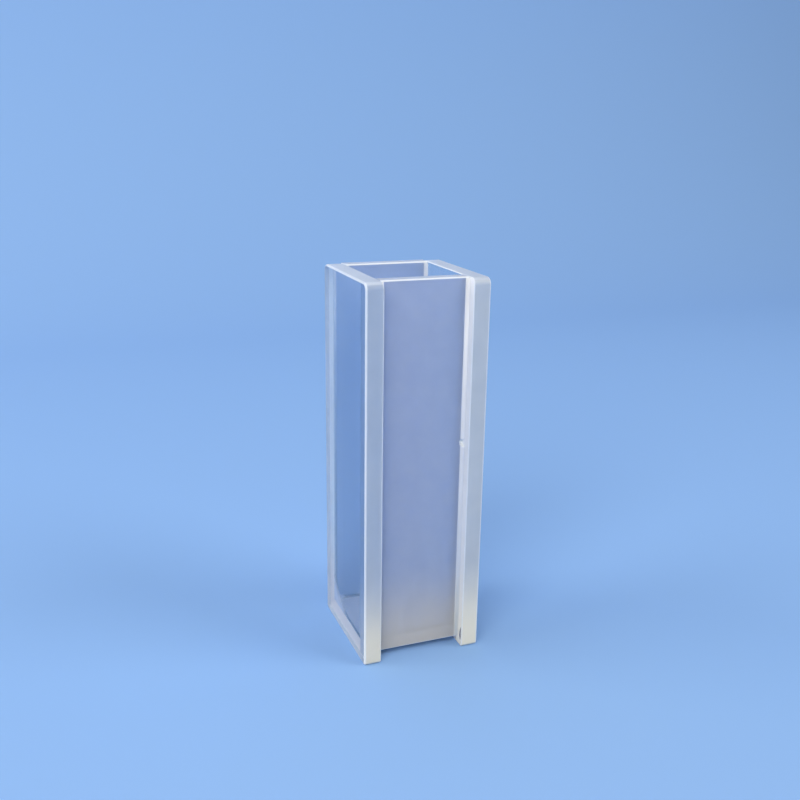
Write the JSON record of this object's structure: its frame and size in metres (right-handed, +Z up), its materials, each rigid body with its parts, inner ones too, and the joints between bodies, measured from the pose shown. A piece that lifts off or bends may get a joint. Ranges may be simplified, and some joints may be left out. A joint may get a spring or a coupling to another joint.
{
  "type": "cuvette",
  "caption": "Open-topped square sample cell with clear polished windows, frosted side walls and a raised base, which holds liquid in a light beam.",
  "frame": {"origin": "centre of the cell's footprint, on the bench under its feet", "axes": "+Z up the cell to its open rim; X across the optical path, from window to window; -Y to the front, where the frosted wall lies in a shallow channel"},
  "size_m": [0.014, 0.0144, 0.0435],
  "materials": {
    "clear_window": "clear glass, polished on both faces and fine ground on the edges",
    "frosted_wall": "fine ground frosted glass",
    "frosted_base": "fine ground frosted glass"
  },
  "bodies": {
    "root": {"window_left": "clear_window", "window_right": "clear_window", "frosted_wall_front": "frosted_wall", "frosted_wall_back": "frosted_wall", "base_plate": "frosted_base"}
  },
  "joints": []
}
